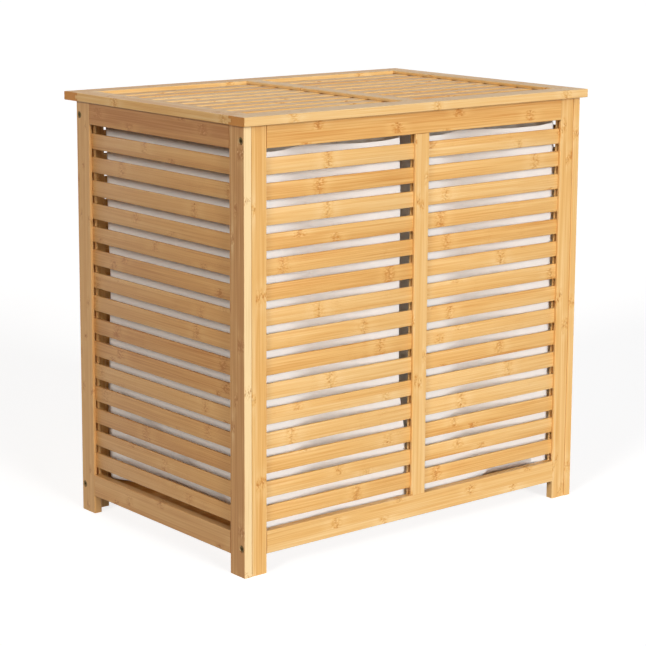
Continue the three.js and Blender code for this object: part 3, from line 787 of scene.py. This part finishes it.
class Spot:
    """A point of the plain bag, how far the walls are, and how slack the walls are at its place."""

    def __init__(self, folds, point):
        self.x, self.y, self.z = point
        self.to_left, self.to_right = self.x - folds.low.x, folds.high.x - self.x
        self.to_front, self.to_back = self.y - folds.low.y, folds.high.y - self.y
        self.to_end = min(self.to_front, self.to_back)
        self.to_bottom = self.z - folds.low.z
        self.down_share = (folds.high.z - self.z) / (folds.high.z - folds.low.z)
        held_from, held_all = (folds.high.z - below for below in HELD_BELOW)
        # For the left and the right wall, and then for the front and the back wall
        self.side_slack = rising(self.to_end, *CORNER) * falling(self.z, held_from, held_all)
        self.front_slack = rising(min(self.to_left, self.to_right), *CORNER)


# %% [markdown]
# The front wall has an upright crease from its packing, which leans to the right on its way down,
# and a wide hollow round it. A stretch of the lower edge of the front is folded in under the bag,
# because nothing fills it out.

# %% Folds of the front wall
CREASE_DEPTH = 6
CREASE_SOFTNESS = 30
# The crease has leant all the way at 1 / 1.4 of the bag's height
LEAN_RATE = 1.4
HOLLOW_DEPTH = 25
HOLLOW_HALF_WIDTH = 85
# The heights between which the hollow comes in
HOLLOW_START = (50, 150)
# How much further back the cloth lies for each millimetre further down, where it is folded in
TUCK_SLOPE = 1.1
TUCK_REACH = 90


def front_shift(folds, at):
    """How far the front wall moves back."""
    crease = folds.crease_top + folds.crease_lean * min(LEAN_RATE * at.down_share, 1)
    valley = CREASE_DEPTH * math.exp(-abs(at.x - crease) / CREASE_SOFTNESS)
    valley += HOLLOW_DEPTH * hump(at.x, crease, HOLLOW_HALF_WIDTH) * rising(at.z, *HOLLOW_START)
    folded_in = max(folds.tuck * between(at.x, *folds.tucked) - at.to_bottom, 0)
    shift = at.front_slack * (valley + ripple(at.x, folds.seed, at.z)) * near(at.to_front)
    return shift + TUCK_SLOPE * folded_in * near(at.to_front, TUCK_REACH)


# %% [markdown]
# The left wall is slack. Below a fold that slants down to the front it hangs a little further in,
# and at the very bottom it is drawn in along most of its length. The right wall stands out a little
# below its hem, and it bulges at the bottom, where the spare cloth has settled.

# %% Folds of the left and the right wall
SLACK = 1
SIDE_FOLD_BACK = 155
SIDE_FOLD_HEIGHT = 195
SIDE_FOLD_SLOPE = 0.39
SIDE_FOLD_DEPTH = 9
SIDE_FOLD_SOFTNESS = 26
# Between which y the drawing in starts, is whole, fades and ends
DRAWN_IN_STRETCH = (-180, -160, 40, 90)
# For each of these, the height up to which it is whole and the height where it ends
DRAWN_IN_TOP = (50, 76)
BELOW_HEM = (490, 565)
BELLY_TOP = (100, 330)
BULGE_TOP = (95, 230)
BELLY = 2.3
BULGE_REACH = 90
RIGHT_RIPPLES = 50


def left_shift(folds, at):
    """How far the left wall moves in."""
    fold = SIDE_FOLD_HEIGHT - (SIDE_FOLD_BACK - at.y) * SIDE_FOLD_SLOPE
    hollow = SIDE_FOLD_DEPTH * falling(at.z, fold - SIDE_FOLD_SOFTNESS, fold)
    drawn_in = between(at.y, *DRAWN_IN_STRETCH) * falling(at.z, *DRAWN_IN_TOP)
    slack = SLACK + ripple(folds.seed, at.y, at.z) + hollow + folds.left_drawn_in * drawn_in
    return at.side_slack * slack * near(at.to_left)


def right_shift(folds, at):
    """How far the right wall moves out."""
    outward = folds.right_out * falling(at.z, *BELOW_HEM) + BELLY * falling(at.z, *BELLY_TOP)
    slack = at.side_slack * (SLACK + ripple(folds.seed + RIGHT_RIPPLES, at.y, at.z))
    bulge = folds.right_bulge * falling(at.z, *BULGE_TOP) * near(at.to_right, BULGE_REACH)
    return (outward - slack) * near(at.to_right) + bulge


# %% [markdown]
# The back wall is only slack, but its left corner can be seen through the side: it lies a little
# further back low down, and further in front above that. Last come the shifts up and down. The
# lower edge is uneven, the hem sags between its corners, and the cloth is pulled up a little at the
# front right corner.

# %% Folds of the back wall, and the rise and fall of the cloth
BACK_SLACK = 1.5
BACK_RIPPLES = 400
BACK_CORNER_REACH = 60
BACK_CORNER_IN = 2
# How far back the corner lies, at which height, and how far up and down that reaches
BACK_CORNER_BENDS = ((7, 140, 110), (-5, 340, 90))
DRAPE = 1.5
DRAPE_SIZE = (60, 60, 1)
DRAPE_REACH = 20
# Between which heights the sag comes in, and between which distances from the front or the back
SAG = 1.4
SAG_HEIGHTS = (380, 560)
SAG_STRETCH = (-60, 60)
PULL = 3
PULL_WIDTH = 14
PULL_HEIGHTS = (530, 560)
PULL_REACH = 20


def back_shift(folds, at):
    """How far the back wall moves back."""
    slack = at.front_slack * (BACK_SLACK + ripple(at.x, folds.seed + BACK_RIPPLES, at.z))
    bend = sum(back * hump(at.z, height, reach) for back, height, reach in BACK_CORNER_BENDS)
    corner = near(at.to_left, BACK_CORNER_REACH) * near(at.to_back, BACK_CORNER_REACH)
    return (bend - BACK_CORNER_IN) * corner - slack * near(at.to_back)


def upward_shift(folds, at):
    """How far the cloth moves up, or down where that is less than zero."""
    drape = DRAPE * noise_at((at.x, at.y, folds.seed), DRAPE_SIZE)
    sag = SAG * rising(at.z, *SAG_HEIGHTS) * at.front_slack * rising(at.to_end, *SAG_STRETCH)
    pull = PULL * math.exp(-at.to_right / PULL_WIDTH) * rising(at.z, *PULL_HEIGHTS)
    return drape * near(at.to_bottom, DRAPE_REACH) - sag + pull * near(at.to_front, PULL_REACH)


def moved(folds, point):
    """The place of a point of the plain bag once the cloth has its folds."""
    at = Spot(folds, point)
    return Vector((
        at.x + left_shift(folds, at) + right_shift(folds, at),
        at.y + front_shift(folds, at) + back_shift(folds, at),
        at.z + upward_shift(folds, at),
    ))


# %% [markdown]
# The plain box that the folds shift starts as a cube without a top. Its upright and its lower edges
# are rounded, and it is subdivided to give the cloth enough points to move. Two more cuts lie close
# together at the lower edge of the hem, for the small step there.

# %% A bag without folds
BAG_ROUND = 5
BAG_CUT = 8
HEM = 20
HEM_CUT = 0.3


def plain_bag(low, high):
    """The open box of cloth between two corners, in millimetres."""
    size = high - low
    middle = (low + high) / 2
    box = bmesh.new()
    bmesh.ops.create_cube(box, size=1)
    bmesh.ops.scale(box, verts=box.verts, vec=size)
    bmesh.ops.translate(box, verts=box.verts, vec=middle)
    top = [face for face in box.faces if face.normal.z > 0.5]
    bmesh.ops.delete(box, geom=top, context="FACES_ONLY")
    edges = [edge for edge in box.edges if min(vert.co.z for vert in edge.verts) < middle.z]
    bmesh.ops.bevel(box, geom=edges, offset=BAG_ROUND, segments=4, profile=0.5,
                    affect="EDGES", material=-1)
    for axis in range(3):
        count = round(size[axis] / BAG_CUT)
        along = [edge for edge in box.edges
                 if abs(edge.verts[0].co[axis] - edge.verts[1].co[axis]) > 2 * BAG_CUT]
        bmesh.ops.subdivide_edges(box, edges=along, cuts=count, use_grid_fill=True)
    for level in (high.z - HEM - HEM_CUT, high.z - HEM + HEM_CUT):
        bmesh.ops.bisect_plane(box, geom=box.verts[:] + box.edges[:] + box.faces[:],
                               plane_co=(0, 0, level), plane_no=(0, 0, 1))
    return box


# %% [markdown]
# The cloth is a single sheet, so light goes through it once. It could be given a wall with a
# Solidify modifier, but then light would have to cross two surfaces, and the inside would go black.
# Only the hem is thick: there the wall steps out a little, and the edge is turned over inwards and
# down, by extruding the rim twice.

# %% The folded cloth of a bag
HEM_STEP = 0.7
HEM_TURNED_OVER = HEM - 1


def bag_shell(folds):
    """The folded cloth of a bag, in millimetres."""
    size = folds.high - folds.low
    middle = (folds.low + folds.high) / 2
    shell = plain_bag(folds.low, folds.high)
    for vert in shell.verts:
        hemmed = vert.co.z > folds.high.z - HEM
        out = vert.co - middle
        place = moved(folds, vert.co)
        for axis in range(2):
            if hemmed and abs(out[axis]) > size[axis] / 2 - BAG_ROUND:
                place[axis] += math.copysign(HEM_STEP, out[axis])
        vert.co = place
    rim = [edge for edge in shell.edges if edge.is_boundary]
    for inward, down in ((2 * HEM_STEP, 0), (0, HEM_TURNED_OVER)):
        turned_over = bmesh.ops.extrude_edge_only(shell, edges=rim)["geom"]
        rim = [item for item in turned_over if isinstance(item, bmesh.types.BMEdge)]
        for vert in {vert for edge in rim for vert in edge.verts}:
            out = vert.co - middle
            to_edge = [size[axis] / 2 - abs(out[axis]) for axis in range(2)]
            axis = to_edge.index(min(to_edge))
            vert.co[axis] -= math.copysign(inward, out[axis])
            vert.co.z -= down
    bmesh.ops.recalc_face_normals(shell, faces=shell.faces)
    return shell


# %% [markdown]
# The hem is sewn all the way round. A texture could draw the thread, but stitches catch the light,
# so they are a row of small bars that follow the folded cloth, outside and inside.

# %% Stitches
STITCH = 3.2
STITCH_PITCH = 4.4
STITCH_THICKNESS = 0.7
SEAM_IN_HEM = 3


def add_stitches(thread, start, end, out, folds=None):
    """Adds a row of stitches from start to end, moved out and with the folds of a bag."""
    length = (end - start).length
    along = (end - start) / length
    for i in range(int(length / STITCH_PITCH)):
        ends = [start + along * (i * STITCH_PITCH + way) for way in (0, STITCH)]
        first, last = [moved(folds, point) for point in ends] if folds else ends
        bar = bmesh.ops.create_cube(thread, size=1)["verts"]
        bmesh.ops.scale(thread, verts=bar, vec=(STITCH, STITCH_THICKNESS, STITCH_THICKNESS))
        turn = (last - first).to_track_quat("X", "Z").to_matrix()
        bmesh.ops.rotate(thread, verts=bar, cent=(0, 0, 0), matrix=turn)
        bmesh.ops.translate(thread, verts=bar, vec=(first + last) / 2 + out)


def hem_stitches(folds):
    """The stitches of a bag's hem, in millimetres."""
    thread = bmesh.new()
    z = folds.high.z - HEM + SEAM_IN_HEM
    low, high = folds.low, folds.high
    corners = [Vector((low.x, low.y, z)), Vector((high.x, low.y, z)),
               Vector((high.x, high.y, z)), Vector((low.x, high.y, z))]
    for i, corner in enumerate(corners):
        after = corners[(i + 1) % len(corners)]
        along = (after - corner).normalized()
        out = along.cross(Vector((0, 0, 1)))
        for side in (out * HEM_STEP, -out * HEM_STEP):
            add_stitches(thread, corner + along * BAG_ROUND, after - along * BAG_ROUND, side, folds)
    return thread


# %% [markdown]
# Above the hem the two side walls go on up to the rods. Each ends in a sleeve: the cloth runs up
# from the hem, over the rod, down behind it, and is sewn to itself. The path of the cloth is worked
# out first, as points in a plane across the rod.

# %% The path of a sleeve
CLOTH = 0.9
ROD = 4
ROD_TO_WALL = 4.4
ROD_TO_HEM = 28
SLEEVE_PLAY = 0.3
SLEEVE_IN_HEM = 3
SLEEVE_SEAM_DROP = 16
SLEEVE_SEAM = 7
FLAT_STEPS = 6
ROUND_STEPS = 16


def flat_stretch(start, end):
    """Points of cloth that runs up or down from start to end and softly changes sides."""
    return [(start[0] + (end[0] - start[0]) * rising(i, 0, FLAT_STEPS),
             start[1] + (end[1] - start[1]) * i / FLAT_STEPS) for i in range(FLAT_STEPS + 1)]


def sleeve_path(rod, wall, outward):
    """Points of a sleeve as x and z, from inside the hem, round the rod and down to the seam."""
    radius = ROD + SLEEVE_PLAY
    hem = rod.z - ROD_TO_HEM
    seam = rod.z - SLEEVE_SEAM_DROP
    behind = wall + outward * CLOTH
    path = [(wall, hem - SLEEVE_IN_HEM)]
    path += flat_stretch((wall, hem), (rod.x - outward * radius, rod.z))[:-1]
    for i in range(ROUND_STEPS + 1):
        angle = math.pi * i / ROUND_STEPS
        path.append((rod.x - outward * radius * math.cos(angle), rod.z + radius * math.sin(angle)))
    path += flat_stretch((rod.x + outward * radius, rod.z), (behind, seam))[1:]
    path.append((behind, seam - SLEEVE_SEAM))
    return path


# %% [markdown]
# The sleeve itself is a flat grid whose rows are laid along that path, and its two ends stay open.
# Away from the rod it ripples a little. A row of stitches on each side holds the seam.

# %% Sleeves for the rods
SLEEVE_SHORTER = 3
SLEEVE_CUT = 9
SLEEVE_RIPPLE = 0.5
SLEEVE_RIPPLE_SIZE = (1, 12, 30)


def sleeve(name, node, rod, low_y, high_y, outward):
    """Makes the sleeve of the bag that replaces a node, round a rod with that middle."""
    wall = rod.x - outward * ROD_TO_WALL
    path = sleeve_path(rod, wall, outward)
    rows = len(path) - 1
    start, end = low_y + SLEEVE_SHORTER, high_y - SLEEVE_SHORTER
    count = round((end - start) / SLEEVE_CUT)
    cloth = bmesh.new()
    bmesh.ops.create_grid(cloth, x_segments=count, y_segments=rows, size=0.5)
    for vert in cloth.verts:
        x, z = path[round((vert.co.y + 0.5) * rows)]
        y = start + (end - start) * (vert.co.x + 0.5)
        loose = rising(abs(z - rod.z), ROD, 3 * ROD)
        x += SLEEVE_RIPPLE * loose * noise_at((rod.x, y, z), SLEEVE_RIPPLE_SIZE)
        vert.co = (x, y, z)
    bmesh.ops.recalc_face_normals(cloth, faces=cloth.faces)
    z = rod.z - SLEEVE_SEAM_DROP - SLEEVE_SEAM / 2
    for x in (wall - outward * CLOTH / 2, wall + outward * 1.5 * CLOTH):
        add_stitches(cloth, Vector((x, start, z)), Vector((x, end, z)), Vector())
    make_piece(name, in_metres(cloth), cotton, "frame", "bag_cloth", node)


# %% [markdown]
# The two bags are alike but for their folds. The left one is drawn in at the bottom of its left
# side and bulges at the bottom of its right side. The right one is folded in at the bottom of its
# front. Where a bag's walls and its hem lie comes from the rods that carry it.

# %% Bags
def middle_of(node):
    """The middle of a frame node, in millimetres."""
    low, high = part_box(node)
    return (low + high) / 2 / MM


def bag(node, left_rod, right_rod, **folds_of):
    """Replaces a frame node by a bag between two rods: its cloth, its stitches and two sleeves."""
    low, high = (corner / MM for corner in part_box(node))
    left, right = middle_of(left_rod), middle_of(right_rod)
    low.x = left.x + ROD_TO_WALL
    high.x = right.x - ROD_TO_WALL
    high.z = left.z - ROD_TO_HEM
    folds = BagFolds(low, high, **folds_of)
    make_piece(node + "_cloth", in_metres(bag_shell(folds)), cotton, "frame", "bag_cloth", node)
    make_piece(node + "_stitches", in_metres(hem_stitches(folds)), cotton, "frame", "bag_cloth")
    sleeve(node + "_left_sleeve", node, left, low.y, high.y, -1)
    sleeve(node + "_right_sleeve", node, right, low.y, high.y, 1)


bag("left_bag", "left_outer_hanging_rod", "left_inner_hanging_rod",
    crease_top=-168, crease_lean=32, left_drawn_in=27, right_bulge=16, right_out=3.7,
    tuck=6, tucked=(-190, -160, -130, -110), seed=0)
bag("right_bag", "right_inner_hanging_rod", "right_outer_hanging_rod",
    crease_top=116, crease_lean=22, left_drawn_in=6, right_bulge=0, right_out=6.5,
    tuck=23, tucked=(128, 168, 222, 250), seed=900)

# %% [markdown]
# Two metals are left. The hanging rods and the hinges are plain zinc-plated steel, a pale grey that
# is a little dull. The bolts are dark bronzed steel, so that they look calm on the light wood.

# %% Metal finishes
def metal(name, colour, roughness):
    """A plain metal material of that colour."""
    material, tree = new_material(name)
    shader = add(tree, "BsdfPrincipled", None,
                 {"Base Color": linear(colour), "Metallic": 1.0, "Roughness": roughness})
    add(tree, "OutputMaterial", None, {"Surface": shader}, None)
    return material


zinc = metal("zinc_plated_steel", "#aeb1b3", roughness=0.42)
bronze = metal("bronzed_steel", "#75603a", roughness=0.34)
print("made two metals, zinc and bronze")

# %% [markdown]
# Rods and bolts are turned pieces. They could be spun from an outline, but rings of points about
# one axis, each bridged to the next, can do one thing more: a ring's radius may depend on the
# angle, which makes the hexagon of a bolt's socket.

# %% Turned pieces
def turned(stations, sides=32):
    """A solid along x, in millimetres. A station is an x and a radius, or a radius for an angle."""
    shape = bmesh.new()
    previous = None
    for x, radius in stations:
        ring = bmesh.ops.create_circle(shape, segments=sides, radius=1)["verts"]
        edges = list({edge for vert in ring for edge in vert.link_edges})
        for vert in ring:
            angle = math.atan2(vert.co.y, vert.co.x)
            size = radius(angle) if callable(radius) else radius
            vert.co = (x, size * math.cos(angle), size * math.sin(angle))
        if previous is None:
            bmesh.ops.edgeloop_fill(shape, edges=edges)
        else:
            bmesh.ops.bridge_loops(shape, edges=previous + edges)
        previous = edges
    bmesh.ops.edgeloop_fill(shape, edges=previous)
    bmesh.ops.recalc_face_normals(shape, faces=shape.faces)
    return shape


def placed(shape, place, angle=0.0):
    """Sets a turned piece in its place, in metres, turned about z by that angle."""
    turn = Matrix.Rotation(angle, 3, "Z")
    bmesh.ops.rotate(shape, verts=shape.verts, cent=(0, 0, 0), matrix=turn)
    bmesh.ops.translate(in_metres(shape), verts=shape.verts, vec=place)
    return shape


# %% [markdown]
# Four rods run from front to back, two for each bag. A rod is a plain bar, and its ends are
# chamfered so that they don't catch the cloth when the bag is slid on.

# %% Hanging rods
ROD_CHAMFER = 0.7

for node in sorted(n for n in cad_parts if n.endswith("_hanging_rod")):
    low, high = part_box(node)
    half = (high.y - low.y) / 2 / MM
    stations = [(-half, ROD - ROD_CHAMFER), (ROD_CHAMFER - half, ROD),
                (half - ROD_CHAMFER, ROD), (half, ROD - ROD_CHAMFER)]
    shape = placed(turned(stations), (low + high) / 2, math.pi / 2)
    make_piece(node + "_steel", shape, zinc, "frame", "zinc_steel", node)

# %% [markdown]
# Each side frame has a bolt at each of its four corners. The head lies just below the face of the
# stile, with a hexagon socket in its middle and a chamfered rim that catches a thin line of light.
# The shank is hidden in the wood.

# %% Bolts
BOLT_SIDES = 24
BOLT_HEAD = 4.8
BOLT_RIM = 0.6
BOLT_HEAD_THICKNESS = 3
BOLT_SHANK = 2.5
SOCKET = 2.0
SOCKET_DEPTH = 2


def hexagon(angle):
    """The distance from the middle of the socket to its wall."""
    sixth = math.pi / 3
    return SOCKET / math.cos((angle % sixth) - sixth / 2)


for node in sorted(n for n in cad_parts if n.endswith("_bolt")):
    low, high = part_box(node)
    length = (high.x - low.x) / MM
    stations = [
        (SOCKET_DEPTH, hexagon),
        (0, hexagon),
        (0, BOLT_HEAD - BOLT_RIM),
        (BOLT_RIM, BOLT_HEAD),
        (BOLT_HEAD_THICKNESS, BOLT_HEAD),
        (BOLT_HEAD_THICKNESS, BOLT_SHANK),
        (length - BOLT_SHANK / 2, BOLT_SHANK),
        (length, BOLT_SHANK / 2),
    ]
    on_left = node.startswith("left")
    head = Vector((low.x if on_left else high.x, (low.y + high.y) / 2, (low.z + high.z) / 2))
    shape = placed(turned(stations, BOLT_SIDES), head, 0 if on_left else math.pi)
    make_piece(node + "_steel", shape, bronze, "frame", "bronzed_steel", node)

# %% [markdown]
# The leaves, the pins and the screws of the two hinges have their shapes in the frame already. They
# are small and lie behind the hamper, so they just get the zinc.

# %% Hinges
hinge_nodes = sorted(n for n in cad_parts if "_hinge_" in n)
for node in hinge_nodes:
    finish(node, zinc)
print("finished", len(hinge_nodes), "pieces of the hinges")

# %% [markdown]
# The picture keeps the colours as they are, without a film look, because they were matched that way.

# %% Keep the colours as they are
bpy.context.scene.view_settings.view_transform = "Standard"
